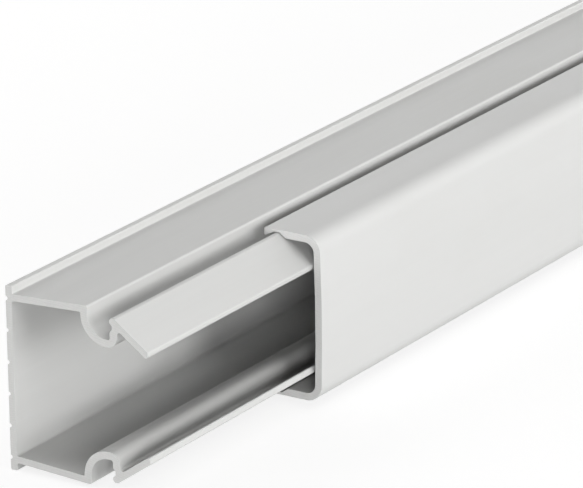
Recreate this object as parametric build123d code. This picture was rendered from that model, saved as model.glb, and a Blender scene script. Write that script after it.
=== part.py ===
from build123d import *
import math
import os

# Sizes in mm and degrees. A section point is (d, h): d is the depth from the mounting
# face, h the height from the mid plane. Both sections are the same above and below it.
LENGTH = 2000.0
COVER_SHIFT = 65.3
DEPTH = 39.7
HALF_HEIGHT = 19.68
RUN_GAP = 0.22

# Base: back wall, side walls that splay towards the front, and lips beyond them.
BACK_WALL = 1.6
LIP_WALL = 1.75
LIP_PROUD = 1.92
SIDE_WALL = 1.6
SIDE_SPLAY_DEG = 2.91

# Base: clip groove, the leg in front of it with its barb, and the sloping ledge.
CLIP_DEPTH = 18.05
GROOVE_WIDTH = 5.95
GROOVE_DEPTH = 5.1
GROOVE_R = 4.6
CURL_WALL = 1.65
CURL_FLOOR = 1.75
LEG_WALL = 1.75
BARB_CUT = 0.65
BARB_TOP = 0.55
BARB_FLAT = 0.5
BARB_FOOT = 2.6
CREST_SET = 0.5
LEDGE_DEG = 34.4
LEDGE_WALL = 1.75
LEDGE_ROUND = 0.98

# Base: key grooves along the mounting face.
KEY_PAIRS = 3
KEY_PITCH = 7.44
KEY_MOUTH = 1.1
KEY_FLOOR = 0.4
KEY_DEPTH = 0.5

# Cover: wall, crown of its front, and the hook behind each barb.
COVER_PROUD = 0.17
COVER_WALL = 1.73
COVER_CROWN = 0.25
COVER_CORNER_R = 2.35
CREST_WALL = 0.63
HOOK_SET = 3.2
HOOK_DROP = 1.15
HOOK_BACK = 0.25

# Corner radii.
EDGE_R = 0.3
BARB_R = 0.2
SHOULDER_R = 0.6
CREASE_R = 0.7
HEEL_R = 1.8

# Where base and cover meet: the cover stands over the crest of the leg and in front
# of the ledge's free edge, each with the running gap.
cover_half = HALF_HEIGHT + COVER_PROUD
cover_inside = cover_half - COVER_WALL
front_inside = DEPTH - COVER_WALL
relief_h = cover_half - CREST_WALL
crest_h = relief_h - RUN_GAP
ledge_reach = front_inside - RUN_GAP
groove_rear = DEPTH - CLIP_DEPTH
leg_rear = groove_rear + GROOVE_WIDTH
leg_front = leg_rear + LEG_WALL
crest_d = leg_front - CREST_SET
groove_floor = crest_h - GROOVE_DEPTH
ledge_fall = math.tan(math.radians(LEDGE_DEG))
ledge_along = Vector(math.cos(math.radians(LEDGE_DEG)), -math.sin(math.radians(LEDGE_DEG)))
ledge_normal = Vector(-ledge_along.Y, ledge_along.X)


def rounded(before, here, after, radius):
    """Start, middle and end of the arc that rounds the corner at here."""
    back = (before - here).normalized()
    on = (after - here).normalized()
    half = math.acos(max(-1.0, min(1.0, back.dot(on)))) / 2
    reach = radius / math.tan(half)
    inwards = (back + on).normalized()
    middle = here + inwards * (radius / math.sin(half) - radius)
    return here + back * reach, middle, here + on * reach


def section(corners, crowns=()):
    """Closed face through (d, h, radius) corners; a side in crowns bows out along d."""
    points = [Vector(d, h) for d, h, radius in corners]
    last = len(points) - 1
    arcs = []
    for i, (d, h, radius) in enumerate(corners):
        if radius > 0:
            after = points[i + 1] if i < last else points[0]
            arcs.append(rounded(points[i - 1], points[i], after, radius))
        else:
            arcs.append((points[i], None, points[i]))
    edges = []
    for i, (start, middle, end) in enumerate(arcs):
        if middle is not None:
            edges.append(ThreePointArc(start, middle, end))
        onward = arcs[i + 1][0] if i < last else arcs[0][0]
        if i in crowns:
            bow = (end + onward) / 2 + Vector(COVER_CROWN, 0)
            edges.append(ThreePointArc(end, bow, onward))
        else:
            edges.append(Line(end, onward))
    return make_face(edges)


def lower(upper):
    """Mirror image of an upper outline, in reverse order."""
    return [(d, -h, radius) for d, h, radius in reversed(upper)]


def extruded(face, start):
    """The profile from X = start on, with its depth along -Y and its height along +Z."""
    across = Plane(origin=(start, 0, 0), x_dir=(0, -1, 0), z_dir=(-1, 0, 0))
    return extrude(across * face, amount=-LENGTH)


def side_outside(d):
    return HALF_HEIGHT + d * math.tan(math.radians(SIDE_SPLAY_DEG))


def side_inside(d):
    return side_outside(d) - SIDE_WALL / math.cos(math.radians(SIDE_SPLAY_DEG))


def key_grooves():
    """Mounting face of the upper half, from the mid plane up."""
    face = []
    for pair in range(KEY_PAIRS):
        middle = (pair + 0.5) * KEY_PITCH
        face.append((0, middle - KEY_MOUTH / 2, 0))
        face.append((KEY_DEPTH, middle - KEY_FLOOR / 2, 0))
        face.append((KEY_DEPTH, middle + KEY_FLOOR / 2, 0))
        face.append((0, middle + KEY_MOUTH / 2, 0))
    return face


def lip_and_side():
    lip_h = HALF_HEIGHT + LIP_PROUD
    return [
        (0, lip_h, EDGE_R),
        (LIP_WALL, lip_h, EDGE_R),
        (LIP_WALL, side_outside(LIP_WALL), EDGE_R),
        (groove_rear, side_outside(groove_rear), SHOULDER_R),
    ]


def groove_and_barb():
    cut = leg_rear + BARB_CUT
    return [
        (groove_rear, groove_floor, GROOVE_R),
        (leg_rear, groove_floor, SHOULDER_R),
        (leg_rear, crest_h - BARB_FOOT, 0),
        (cut, crest_h - BARB_FOOT + BARB_CUT, BARB_R),
        (cut, crest_h - BARB_TOP - BARB_FLAT - BARB_CUT, BARB_R),
        (leg_rear, crest_h - BARB_TOP - BARB_FLAT, BARB_R),
        (leg_rear, crest_h - BARB_TOP, BARB_R),
        (leg_rear + BARB_TOP, crest_h, BARB_R),
        (crest_d, crest_h, EDGE_R),
    ]


def ledge():
    """Round free edge of the ledge, then its underside back to the leg."""
    round_r = LEDGE_ROUND * LEDGE_WALL / 2
    foot_d = ledge_reach - round_r + round_r * ledge_normal.X
    top = Vector(foot_d, crest_h - (foot_d - crest_d) * ledge_fall) + ledge_along * round_r
    under = top - ledge_normal * LEDGE_WALL
    crease_h = under.Y + (under.X - leg_front) * ledge_fall
    return [
        (top.X, top.Y, round_r),
        (under.X, under.Y, round_r),
        (leg_front, crease_h, CREASE_R),
    ]


def curl_and_inside():
    curl_rear = groove_rear - CURL_WALL
    return [
        (leg_front, groove_floor - CURL_FLOOR, HEEL_R),
        (curl_rear, groove_floor - CURL_FLOOR, GROOVE_R + CURL_WALL),
        (curl_rear, side_inside(curl_rear), EDGE_R),
        (BACK_WALL, side_inside(BACK_WALL), SHOULDER_R),
    ]


def trunking_base():
    upper = key_grooves() + lip_and_side() + groove_and_barb() + ledge() + curl_and_inside()
    return extruded(section(upper + lower(upper)), -LENGTH / 2)


def trunking_cover():
    """C section whose flanges are relieved over the crest and slope down to hooks behind the barbs."""
    rear = groove_rear + HOOK_SET
    over_ledge = RUN_GAP / math.cos(math.radians(LEDGE_DEG))
    relief_front = crest_d - (relief_h - crest_h - over_ledge) / ledge_fall
    step_d = crest_d - (cover_inside - crest_h - over_ledge) / ledge_fall
    inside = [
        (front_inside, cover_inside, COVER_CORNER_R),
        (step_d, cover_inside, EDGE_R),
        (relief_front, relief_h, EDGE_R),
        (leg_rear - HOOK_BACK, relief_h, EDGE_R),
        (rear, crest_h - HOOK_DROP, BARB_R),
    ]
    outside = [(rear, cover_half, EDGE_R), (DEPTH, cover_half, COVER_CORNER_R + COVER_WALL)]
    corners = inside + outside + lower(inside + outside)
    crowns = (len(inside) + 1, len(corners) - 1)
    return extruded(section(corners, crowns), -LENGTH / 2 + COVER_SHIFT)


pieces = {"trunking_base": trunking_base(), "trunking_cover": trunking_cover()}

os.makedirs("parts", exist_ok=True)
for name, piece in pieces.items():
    export_step(piece, f"parts/{name}.step")
    size = piece.bounding_box().size
    print(name, f"{size.X:.1f} x {size.Y:.2f} x {size.Z:.2f} mm, {piece.volume / 1000:.1f} cm3")
print(f"gap between them {pieces['trunking_base'].distance_to(pieces['trunking_cover']):.3f} mm")
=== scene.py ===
import math

import bmesh
import bpy
from mathutils import Matrix, Quaternion, Vector


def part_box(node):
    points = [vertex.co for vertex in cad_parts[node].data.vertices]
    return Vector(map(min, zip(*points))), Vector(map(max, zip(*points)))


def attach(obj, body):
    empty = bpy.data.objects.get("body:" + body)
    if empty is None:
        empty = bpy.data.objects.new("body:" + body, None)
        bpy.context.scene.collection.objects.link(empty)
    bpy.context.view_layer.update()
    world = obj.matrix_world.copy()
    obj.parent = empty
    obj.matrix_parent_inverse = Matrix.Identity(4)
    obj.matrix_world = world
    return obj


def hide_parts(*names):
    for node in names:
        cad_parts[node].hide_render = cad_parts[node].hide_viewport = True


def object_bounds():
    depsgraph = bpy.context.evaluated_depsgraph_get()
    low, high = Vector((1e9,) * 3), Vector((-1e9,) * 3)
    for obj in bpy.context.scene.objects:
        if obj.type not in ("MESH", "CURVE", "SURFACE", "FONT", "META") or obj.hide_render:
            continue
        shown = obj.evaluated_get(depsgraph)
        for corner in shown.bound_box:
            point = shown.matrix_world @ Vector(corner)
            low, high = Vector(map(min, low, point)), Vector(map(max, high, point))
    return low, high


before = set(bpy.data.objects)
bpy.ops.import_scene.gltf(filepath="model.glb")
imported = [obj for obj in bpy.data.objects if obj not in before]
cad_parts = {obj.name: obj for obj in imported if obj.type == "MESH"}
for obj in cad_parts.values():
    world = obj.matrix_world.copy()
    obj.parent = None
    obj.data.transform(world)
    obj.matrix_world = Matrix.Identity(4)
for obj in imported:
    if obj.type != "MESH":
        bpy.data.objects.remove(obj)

mm = 0.001
nodeStep = (190, -170)                 # from a node to the next column and row of its tree
cadLow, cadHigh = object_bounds()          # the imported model's box, before anything is added
scene = bpy.context.scene
scene.view_settings.view_transform = "Standard"
print("loaded:", ", ".join(sorted(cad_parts)))


def addObject(name, data):
    thing = bpy.data.objects.new(name, data)
    scene.collection.objects.link(thing)
    return thing


def opaque(colour):
    return (*colour, 1.0)


# helpers for node trees: place a node, then link its sockets or type values into them
def addNode(tree, kind, column, row, inputs=None, **settings):
    node = tree.nodes.new(kind)
    node.location = (column * nodeStep[0], row * nodeStep[1])
    for name, value in settings.items():
        setattr(node, name, value)
    for name, value in (inputs or {}).items():
        socket = node.inputs[name]
        if isinstance(value, bpy.types.NodeSocket):
            tree.links.new(value, socket)
        else:
            socket.default_value = value
    return node


def emptyTree(owner):
    owner.use_nodes = True
    owner.node_tree.nodes.clear()
    return owner.node_tree


def newGroup(name, inputs, outputs):
    group = bpy.data.node_groups.new(name, "ShaderNodeTree")
    for label, value in inputs.items():
        socket = group.interface.new_socket(label, in_out="INPUT", socket_type="NodeSocketFloat")
        socket.default_value = value
    for label in outputs:
        group.interface.new_socket(label, in_out="OUTPUT", socket_type="NodeSocketFloat")
    return group, addNode(group, "NodeGroupInput", -5, 0).outputs


def closeGroup(group, column, results):
    addNode(group, "NodeGroupOutput", column, 0, results)
    return group


def maths(tree, column, row, operation, first, second=0.0, third=0.0, clamp=False):
    inputs = {0: first, 1: second, 2: third}
    settings = {"operation": operation, "use_clamp": clamp}
    return addNode(tree, "ShaderNodeMath", column, row, inputs, **settings).outputs[0]


def remap(tree, column, row, value, low, high):
    inputs = {"Value": value, "From Min": low, "From Max": high}
    return addNode(tree, "ShaderNodeMapRange", column, row, inputs).outputs[0]


# a Mix node's colours are its sockets 6 and 7, and their blend is its output 2
def blendColour(tree, column, row, share, first, second):
    inputs = {0: share, 6: first, 7: second}
    return addNode(tree, "ShaderNodeMix", column, row, inputs, data_type="RGBA").outputs[2]


def blendShader(tree, column, row, share, first, second):
    inputs = {0: share, 1: first.outputs[0], 2: second.outputs[0]}
    return addNode(tree, "ShaderNodeMixShader", column, row, inputs).outputs[0]


def evenNoise(tree, column, row, place, scale, detail):
    inputs = {"Vector": place, "Scale": scale, "Detail": detail}
    return addNode(tree, "ShaderNodeTexNoise", column, row, inputs).outputs["Fac"]


# noise drawn out along the profile: one cell is about along metres long and across metres wide
def stretchedNoise(tree, row, along, across, detail=2.0, rough=0.5):
    place = addNode(tree, "ShaderNodeTexCoord", -3, row).outputs["Object"]
    axes = addNode(tree, "ShaderNodeSeparateXYZ", -2, row, {0: place}).outputs
    cell = addNode(tree, "ShaderNodeCombineXYZ", 0, row, {
        "X": maths(tree, -1, row, "DIVIDE", axes["X"], along),
        "Y": maths(tree, -1, row + 0.3, "DIVIDE", axes["Y"], across),
        "Z": maths(tree, -1, row + 0.6, "DIVIDE", axes["Z"], across),
    })
    return addNode(tree, "ShaderNodeTexNoise", 1, row, {
        "Vector": cell.outputs[0], "Scale": 1.0, "Detail": detail, "Roughness": rough,
    }).outputs["Fac"]


# fine lines that the die leaves along the whole length: broad ones with hair lines between them
dieLinesLook = {
    "broadWidth": 4.0,                 # in spacings
    "broadShare": 0.6,
    "hairShare": 0.4,
    "hairDetail": 3.0,
    "hairRough": 0.6,
    "streakFrom": 0.36,                # the heights between which a line darkens to a streak
    "streakTo": 0.64,
}


def makeDieLines(look):
    group, given = newGroup("dieLines", {"Spacing": 0.6 * mm, "Run": 0.9}, ["Height", "Streak"])
    run, spacing = given["Run"], given["Spacing"]
    broadWidth = maths(group, -4, -1, "MULTIPLY", spacing, look["broadWidth"])
    broad = stretchedNoise(group, 0, run, broadWidth)
    hair = stretchedNoise(group, 2, run, spacing, look["hairDetail"], look["hairRough"])
    hairPart = maths(group, 2, 2, "MULTIPLY", hair, look["hairShare"])
    height = maths(group, 3, 1, "MULTIPLY_ADD", broad, look["broadShare"], hairPart)
    streak = remap(group, 4, 1, height, look["streakFrom"], look["streakTo"])
    return closeGroup(group, 5, {"Height": height, "Streak": streak})


# slow waves and clouding of drawn plastic
flowLook = {
    "length": 9.0,                     # of waves and clouds, in widths of a wave
    "cloudWidth": 0.7,
    "waveDetail": 1.0,
    "cloudDetail": 4.0,
    "cloudRough": 0.62,
    "cloudFrom": 0.34,
    "cloudTo": 0.66,
}


def makeFlow(look):
    group, given = newGroup("flow", {"Width": 14 * mm}, ["Height", "Cloud"])
    length = maths(group, -4, -1, "MULTIPLY", given["Width"], look["length"])
    cloudWidth = maths(group, -4, 3, "MULTIPLY", given["Width"], look["cloudWidth"])
    wave = stretchedNoise(group, 0, length, given["Width"], look["waveDetail"])
    noise = stretchedNoise(group, 2, length, cloudWidth, look["cloudDetail"], look["cloudRough"])
    cloud = remap(group, 2, 2, noise, look["cloudFrom"], look["cloudTo"])
    return closeGroup(group, 3, {"Height": wave, "Cloud": cloud})


# sawn ends: faces across the length, with the arcs that a blade centred below leaves on them
sawCutLook = {
    "faceFrom": 0.85,                  # how squarely a face looks along X where sawing begins
    "faceTo": 0.95,
    "wobble": 1.6,                     # of the arcs, in pitches
    "wobbleScale": 320.0,
    "wobbleDetail": 4.0,
    "gritScale": 2600.0,
    "gritDetail": 3.0,
    "arcHeight": 0.35,                 # beside the grit, which is 1
    "arcChalk": 0.2,
}


def makeSawCut(look):
    sizes = {"Pitch": 0.5 * mm, "Blade": 0.15}
    group, given = newGroup("sawCut", sizes, ["Face", "Height", "Chalk"])
    coords = addNode(group, "ShaderNodeTexCoord", -4, 0).outputs
    place = coords["Object"]
    facing = addNode(group, "ShaderNodeSeparateXYZ", -3, 0, {0: coords["Normal"]}).outputs["X"]
    squareness = maths(group, -1, 0, "ABSOLUTE", facing)
    face = remap(group, 0, 0, squareness, look["faceFrom"], look["faceTo"])

    axes = addNode(group, "ShaderNodeSeparateXYZ", -3, 1, {0: place}).outputs
    lift = maths(group, -2, 1, "ADD", axes["Z"], given["Blade"])
    sideways = maths(group, -2, 2, "MULTIPLY", axes["Y"], axes["Y"])
    spoke = maths(group, 0, 1, "SQRT", maths(group, -1, 1, "MULTIPLY_ADD", lift, lift, sideways))
    wobble = evenNoise(group, -1, 3, place, look["wobbleScale"], look["wobbleDetail"])
    evenTurns = maths(group, 1, 2, "DIVIDE", spoke, given["Pitch"])
    turns = maths(group, 1, 1, "MULTIPLY_ADD", wobble, look["wobble"], evenTurns)
    arcs = maths(group, 2, 1, "SINE", maths(group, 2, 2, "MULTIPLY", turns, 2 * math.pi))
    grit = evenNoise(group, 2, 3, place, look["gritScale"], look["gritDetail"])
    height = maths(group, 3, 1, "MULTIPLY_ADD", arcs, look["arcHeight"], grit)
    chalk = maths(group, 3, 3, "MULTIPLY_ADD", arcs, look["arcChalk"], grit, clamp=True)
    return closeGroup(group, 4, {"Face": face, "Height": height, "Chalk": chalk})


# 1 where a corner lies within the radius: the mask of a painted highlight, which makes edges look
#                                          as if they caught the light a little
edgeHighlightLook = {"samples": 6, "flatFrom": 0.995, "cornerTo": 0.8}


def makeEdgeHighlight(look):
    group, given = newGroup("edgeHighlight", {"Radius": 0.3 * mm}, ["Edge"])
    radius = {"Radius": given["Radius"]}
    rounded = addNode(group, "ShaderNodeBevel", -3, 0, radius, samples=look["samples"])
    surface = addNode(group, "ShaderNodeNewGeometry", -3, 1)
    normals = {0: rounded.outputs[0], 1: surface.outputs["Normal"]}
    agree = addNode(group, "ShaderNodeVectorMath", -2, 0, normals, operation="DOT_PRODUCT")
    edge = remap(group, -1, 0, agree.outputs["Value"], look["flatFrom"], look["cornerTo"])
    return closeGroup(group, 0, {"Edge": edge})


# faint smudges and sparse short scuffs from handling and stacking; lengths and widths are
# in smudge sizes
handlingLook = {
    "smudgeLength": 1.8,
    "smudgeDetail": 5.0,
    "smudgeRough": 0.6,
    "smudgeFrom": 0.5,
    "smudgeTo": 0.72,
    "scratchWidth": 0.012,
    "scratchDetail": 1.0,
    "scratchFrom": 0.66,
    "scratchTo": 0.74,
    "patchLength": 0.9,                # scratches show only within these patches
    "patchWidth": 0.5,
    "patchDetail": 2.0,
    "patchFrom": 0.55,
    "patchTo": 0.7,
}


def makeHandling(look):
    group, given = newGroup("handling", {"Size": 30 * mm, "Amount": 0.5}, ["Smudge", "Scuff"])
    size = given["Size"]

    def sized(row, key):
        return maths(group, -4, row, "MULTIPLY", size, look[key])

    smudgeLength = sized(0, "smudgeLength")
    smudges = stretchedNoise(
        group, 0, smudgeLength, size, look["smudgeDetail"], look["smudgeRough"])
    scratches = stretchedNoise(group, 2, size, sized(2, "scratchWidth"), look["scratchDetail"])
    patchLength, patchWidth = sized(4, "patchLength"), sized(5, "patchWidth")
    patches = stretchedNoise(group, 4, patchLength, patchWidth, look["patchDetail"])
    smudge = remap(group, 2, 0, smudges, look["smudgeFrom"], look["smudgeTo"])
    scratch = remap(group, 2, 2, scratches, look["scratchFrom"], look["scratchTo"])
    patch = remap(group, 2, 4, patches, look["patchFrom"], look["patchTo"])
    scuff = maths(group, 3, 2, "MULTIPLY", scratch, patch)
    return closeGroup(group, 5, {
        "Smudge": maths(group, 4, 0, "MULTIPLY", smudge, given["Amount"]),
        "Scuff": maths(group, 4, 2, "MULTIPLY", scuff, given["Amount"]),
    })


dieLines = makeDieLines(dieLinesLook)
flow = makeFlow(flowLook)
sawCut = makeSawCut(sawCutLook)
edgeHighlight = makeEdgeHighlight(edgeHighlightLook)
handling = makeHandling(handlingLook)
print("effects:", ", ".join(group.name for group in bpy.data.node_groups))


# satin drawn plastic with its die lines along X and sawn ends
def extrudedPlastic(name, look):
    material = bpy.data.materials.new(name)
    tree = emptyTree(material)

    def effect(group, row, **values):
        node = addNode(tree, "ShaderNodeGroup", 0, row, node_tree=group)
        for label, value in values.items():
            node.inputs[label].default_value = value
        return node.outputs

    def tint(key):
        return opaque(look[key])

    lines = effect(dieLines, 0, Spacing=look["lineSpacing"], Run=look["lineRun"])
    waves = effect(flow, 1, Width=look["waveWidth"])
    sawn = effect(sawCut, 2, Pitch=look["sawPitch"], Blade=look["bladeRadius"])
    paintedHighlights = effect(edgeHighlight, 3, Radius=look["highlightRadius"])
    marks = effect(handling, 4, Size=look["smudgeSize"], Amount=look["handling"])

    # colour: clouded plastic, darker streaks, smudges, chalky cuts, and a painted highlight on
    # the corners over all
    colour = blendColour(tree, 1, 0, waves["Cloud"], tint("colour"), tint("clouded"))
    streakShare = maths(tree, 1, 1, "MULTIPLY", lines["Streak"], look["streakShare"])
    colour = blendColour(tree, 2, 0, streakShare, colour, tint("streak"))
    colour = blendColour(tree, 3, 0, marks["Smudge"], colour, tint("smudge"))
    chalk = blendColour(tree, 3, 1, sawn["Chalk"], tint("sawnLow"), tint("sawnHigh"))
    colour = blendColour(tree, 4, 0, sawn["Face"], colour, chalk)
    # painted highlight: the corners turn paler, as if they caught the light
    paintedHighlightShare = maths(tree, 4, 2, "MULTIPLY", paintedHighlights["Edge"], look["paintedHighlightShare"])
    colour = blendColour(tree, 5, 0, paintedHighlightShare, colour, tint("edge"))

    # roughness: duller in clouds, smudges and scuffs, dullest where it is sawn
    rough = look["roughness"]
    rough = maths(tree, 2, 2, "MULTIPLY_ADD", waves["Cloud"], look["roughClouds"], rough)
    rough = maths(tree, 3, 2, "MULTIPLY_ADD", marks["Smudge"], look["roughSmudge"], rough)
    rough = maths(tree, 4, 3, "MULTIPLY_ADD", marks["Scuff"], look["roughScuff"], rough)
    sawnRough = maths(tree, 4, 4, "MULTIPLY", sawn["Face"], look["roughSawn"])
    rough = maths(tree, 5, 2, "MAXIMUM", rough, sawnRough, clamp=True)

    # relief in metres: die lines, waves and scuffs on the drawn faces, saw arcs on the ends
    drawn = maths(tree, 2, 4, "MULTIPLY", lines["Height"], look["lineHeight"])
    drawn = maths(tree, 3, 4, "MULTIPLY_ADD", waves["Height"], look["waveHeight"], drawn)
    drawn = maths(tree, 4, 5, "MULTIPLY_ADD", marks["Scuff"], -look["scuffDepth"], drawn)
    drawn = maths(tree, 5, 4, "MULTIPLY", drawn, maths(tree, 4, 6, "SUBTRACT", 1.0, sawn["Face"]))
    cut = maths(tree, 4, 7, "MULTIPLY", sawn["Height"], look["sawDepth"])
    height = maths(tree, 6, 4, "MULTIPLY_ADD", cut, sawn["Face"], drawn)
    relief = addNode(tree, "ShaderNodeBump", 7, 3, {
        "Strength": 1.0, "Distance": 1.0, "Height": height,
    })
    shader = addNode(tree, "ShaderNodeBsdfPrincipled", 8, 0, {
        "Base Color": colour, "Roughness": rough, "IOR": look["ior"], "Normal": relief.outputs[0],
    })
    addNode(tree, "ShaderNodeOutputMaterial", 10, 0, {"Surface": shader.outputs[0]})
    return material


# the base: channel, lips, clip grooves and ledges. Its section is in mm, from the mid plane
# up: each corner's depth from the mounting face, its height and its radius. A key groove's
# sharp corners are given about each of the key heights. The lower half is the mirror image.
# Arcs turn in steps of arcStep degrees, and corners of more than sharpFrom stay sharp.
baseLook = {
    "keyGroove": ((0.0, -0.55), (0.5, -0.2), (0.5, 0.2), (0.0, 0.55)),
    "keyHeights": (3.72, 11.16, 18.60),
    "lip": ((0.0, 21.60, 0.3), (1.75, 21.60, 0.3)),
    "side": ((1.75, 19.77, 0.3), (21.62, 20.78, 0.5)),
    "clipGroove": ((21.62, 13.90, 4.65), (27.45, 13.90, 0.6)),
    "notch": ((27.45, 15.75, 0.3), (28.05, 16.40, 0.3), (28.05, 17.30, 0.25)),
    "barb": ((27.38, 17.90, 0.2), (27.38, 18.50, 0.2), (27.85, 19.00, 0.2)),
    "ledge": ((28.75, 19.00, 0.5), (37.38, 12.91, 0.4), (37.10, 11.21, 0.45)),
    "curl": ((29.30, 16.71, 0.7), (29.30, 12.17, 2.6), (19.85, 12.17, 6.45)),
    "inside": ((19.85, 19.08, 0.3), (1.60, 18.16, 0.6)),
    "arcStep": 7.5,
    "sharpFrom": 25.0,
    "plastic": {
        "colour": (0.742, 0.744, 0.732),
        "clouded": (0.724, 0.726, 0.713),
        "streak": (0.690, 0.692, 0.680),
        "streakShare": 0.25,
        "smudge": (0.685, 0.680, 0.660),
        "sawnLow": (0.700, 0.701, 0.688),
        "sawnHigh": (0.770, 0.771, 0.760),
        # the colour and share of the painted highlight on the corners
        "edge": (0.820, 0.821, 0.812),
        "paintedHighlightShare": 0.45,
        "highlightRadius": 0.25 * mm,
        "roughness": 0.44,
        "roughClouds": 0.05,
        "roughSmudge": 0.10,
        "roughScuff": 0.20,
        "roughSawn": 0.72,
        "lineSpacing": 0.55 * mm,
        "lineRun": 0.8,
        "lineHeight": 0.006 * mm,
        "waveWidth": 14 * mm,
        "waveHeight": 0.05 * mm,
        "smudgeSize": 35 * mm,
        "handling": 0.35,
        "scuffDepth": 0.006 * mm,
        "sawPitch": 0.55 * mm,
        "bladeRadius": 0.15,
        "sawDepth": 0.02 * mm,
        "ior": 1.53,
    },
}


def upperHalf(look):
    corners = [
        (depth, height + rise, 0.0)
        for height in look["keyHeights"]
        for depth, rise in look["keyGroove"]
    ]
    for part in ("lip", "side", "clipGroove", "notch", "barb", "ledge", "curl", "inside"):
        corners += look[part]
    return corners


# the points of one corner, its arc divided finely enough to look round
def turnCorner(before, corner, after, radius, step):
    if radius == 0:
        return [corner]
    back = (before - corner).normalized()
    ahead = (after - corner).normalized()
    half = math.acos(back.dot(ahead)) / 2
    centre = corner + (back + ahead).normalized() * (radius / math.sin(half))
    spoke = corner + back * (radius / math.tan(half)) - centre
    turn = math.copysign(math.pi - 2 * half, -back.cross(ahead))
    count = max(2, math.ceil(abs(turn) / step))
    return [centre + Matrix.Rotation(turn * i / count, 2) @ spoke for i in range(count + 1)]


def wholeOutline(look):
    upper = upperHalf(look)
    corners = upper + [(depth, -height, radius) for depth, height, radius in reversed(upper)]
    flat = [Vector(corner[:2]) for corner in corners]
    step = math.radians(look["arcStep"])
    outline = []
    for i, corner in enumerate(flat):
        after = flat[(i + 1) % len(flat)]
        outline += turnCorner(flat[i - 1], corner, after, corners[i][2], step)
    return outline


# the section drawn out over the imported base's length
def makeBase(look):
    outline = wholeOutline(look)
    low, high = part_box("trunking_base")
    form = bmesh.new()
    near, far = (
        [form.verts.new((x, -depth * mm, height * mm)) for depth, height in outline]
        for x in (low.x, high.x)
    )
    form.faces.new(near)
    form.faces.new(far)
    for i in range(len(outline)):
        form.faces.new((near[i - 1], near[i], far[i], far[i - 1]))
    bmesh.ops.recalc_face_normals(form, faces=form.faces)
    mesh = bpy.data.meshes.new("baseProfile")
    form.to_mesh(mesh)
    form.free()
    mesh.shade_smooth()
    mesh.set_sharp_from_angle(angle=math.radians(look["sharpFrom"]))
    mesh.materials.append(extrudedPlastic("basePlastic", look["plastic"]))
    base = addObject("baseProfile", mesh)
    evenShade = base.modifiers.new("evenShade", "WEIGHTED_NORMAL")
    evenShade.keep_sharp = True
    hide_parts("trunking_base")
    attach(base, "base")


makeBase(baseLook)
print("made the base")

# the cover: the same plastic, drawn a little smoother
coverLook = dict(
    baseLook["plastic"],
    colour=(0.752, 0.754, 0.744),
    clouded=(0.738, 0.740, 0.729),
    streak=(0.712, 0.714, 0.703),
    streakShare=0.2,
    roughness=0.38,
    lineSpacing=0.8 * mm,
    lineHeight=0.004 * mm,
    waveWidth=18 * mm,
    # the cover's sawn ends are paler than the base's: chalky cuts, and partly painted light that
    # makes up for the shade the base casts on them
    sawnLow=(0.740, 0.741, 0.728),
    sawnHigh=(0.810, 0.811, 0.800),
    bladeRadius=0.17,
    handling=0.3,
)


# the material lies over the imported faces, which stay as they are
def dressCover(look):
    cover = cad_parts["trunking_cover"]
    plastic = extrudedPlastic("coverPlastic", look)
    for place in cover.material_slots:
        place.link = "OBJECT"
        place.material = plastic


dressCover(coverLook)
print("dressed the cover")


# 1 for what the camera sees, straight, in a reflection or through glass
def seenDirectly(tree, row):
    path = addNode(tree, "ShaderNodeLightPath", -4, row).outputs
    seen = maths(tree, -3, row, "MAXIMUM", path["Is Camera Ray"], path["Is Glossy Ray"])
    return maths(tree, -2, row, "MAXIMUM", seen, path["Is Transmission Ray"])


# the floor shows white to the camera and keeps the object's shadow
floorLook = {
    "size": 60.0,
    "colour": (0.76, 0.76, 0.755),
    "cameraShare": 0.62,
    "cameraGlow": 1.33,
}


def makeFloor(look):
    half = look["size"] / 2
    sides = ((-half, -half), (half, -half), (half, half), (-half, half))
    mesh = bpy.data.meshes.new("studioFloor")
    mesh.from_pydata([(x, y, cadLow.z) for x, y in sides], [], [(0, 1, 2, 3)])
    material = bpy.data.materials.new("floorPaper")
    tree = emptyTree(material)
    paper = addNode(tree, "ShaderNodeBsdfDiffuse", 0, 1, {"Color": opaque(look["colour"])})
    glow = addNode(tree, "ShaderNodeEmission", 0, 2, {"Strength": look["cameraGlow"]})
    share = maths(tree, 0, 0, "MULTIPLY", seenDirectly(tree, 0), look["cameraShare"])
    mixed = blendShader(tree, 1, 0, share, paper, glow)
    addNode(tree, "ShaderNodeOutputMaterial", 2, 0, {"Surface": mixed})
    mesh.materials.append(material)
    floor = addObject("studioFloor", mesh)


makeFloor(floorLook)

# the dome lights the object evenly, and shows white where the camera looks past the floor
domeLook = {
    "colour": (1.0, 0.995, 0.985),
    "strength": 0.12,
    "seenColour": (1.0, 1.0, 1.0),
    "seenStrength": 1.0,
}


def makeDome(look):
    scene.world = bpy.data.worlds.new("studioDome")
    tree = emptyTree(scene.world)
    lit = {"Color": opaque(look["colour"]), "Strength": look["strength"]}
    seen = {"Color": opaque(look["seenColour"]), "Strength": look["seenStrength"]}
    dome = addNode(tree, "ShaderNodeBackground", 0, 0, lit)
    white = addNode(tree, "ShaderNodeBackground", 0, 1, seen)
    mixed = blendShader(tree, 1, 0, seenDirectly(tree, 0), dome, white)
    addNode(tree, "ShaderNodeOutputWorld", 2, 0, {"Surface": mixed})


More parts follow.
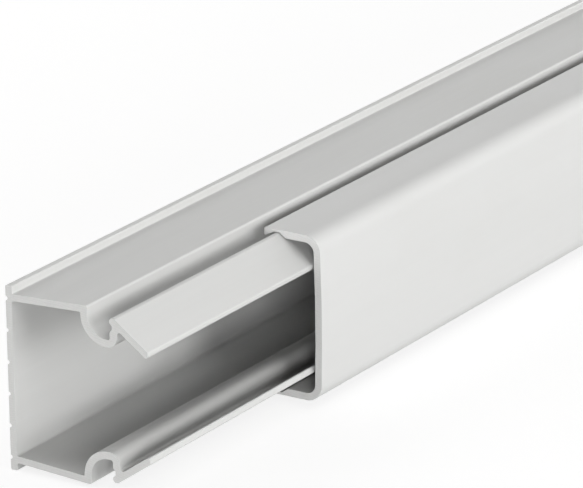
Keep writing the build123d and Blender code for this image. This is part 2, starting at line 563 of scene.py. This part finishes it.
# three broad low lamps in front, two overhead, one behind and one past the far end. Angles
# are in degrees: softness is a lamp's width, fromLeft turns it from straight in front of the
# cover towards the near end, and above is its height.
lampLooks = {
    "keyLamp": {"strength": 2.02, "softness": 26.0, "fromLeft": 53.0, "above": 4.0},
    "fillLamp": {"strength": 0.78, "softness": 26.0, "fromLeft": -16.0, "above": 3.0},
    "frontLamp": {"strength": 0.80, "softness": 24.0, "fromLeft": 10.0, "above": 15.0},
    "highLamp": {"strength": 0.42, "softness": 34.0, "fromLeft": -35.0, "above": 64.0},
    "topLamp": {"strength": 0.12, "softness": 40.0, "fromLeft": 0.0, "above": 84.0},
    "rearLamp": {"strength": 1.35, "softness": 60.0, "fromLeft": 165.0, "above": 25.0},
    "farLamp": {"strength": 0.65, "softness": 50.0, "fromLeft": -80.0, "above": 8.0},
}
lightBounces = 1                       # so that the inside of the channel stays deep


def makeLamp(name, look):
    lamp = bpy.data.lights.new(name, "SUN")
    lamp.energy = look["strength"]
    lamp.angle = math.radians(look["softness"])
    left, above = math.radians(look["fromLeft"]), math.radians(look["above"])
    level = math.cos(above)
    towards = Vector((-math.sin(left) * level, -math.cos(left) * level, math.sin(above)))
    holder = addObject(name, lamp)
    holder.rotation_mode = "QUATERNION"
    holder.rotation_quaternion = towards.to_track_quat("Z", "Y")


makeDome(domeLook)
for name, look in lampLooks.items():
    makeLamp(name, look)
scene.cycles.diffuse_bounces = lightBounces
print("floor and lights are set")

# the photograph's view: a long lens from the front left, a little above. Places are in metres,
# the roll in degrees, lens and sensor in mm.
cameraLook = {
    "place": (-1.84137, -0.62065, 0.39581),
    "lookAt": (-0.94643, -0.03970, 0.02197),
    "roll": -0.772,
    "lens": 314.48,
    "sensor": 36.0,
}


def makeCamera(look):
    data = bpy.data.cameras.new("photoView")
    data.sensor_fit = "HORIZONTAL"
    data.sensor_width = look["sensor"]
    data.lens = look["lens"]
    camera = addObject("photoView", data)
    place = Vector(look["place"])
    aim = (Vector(look["lookAt"]) - place).to_track_quat("-Z", "Y")
    camera.rotation_mode = "QUATERNION"
    camera.location = place
    camera.rotation_quaternion = aim @ Quaternion((0.0, 0.0, 1.0), math.radians(look["roll"]))
    scene.camera = camera


makeCamera(cameraLook)
print("camera is set")
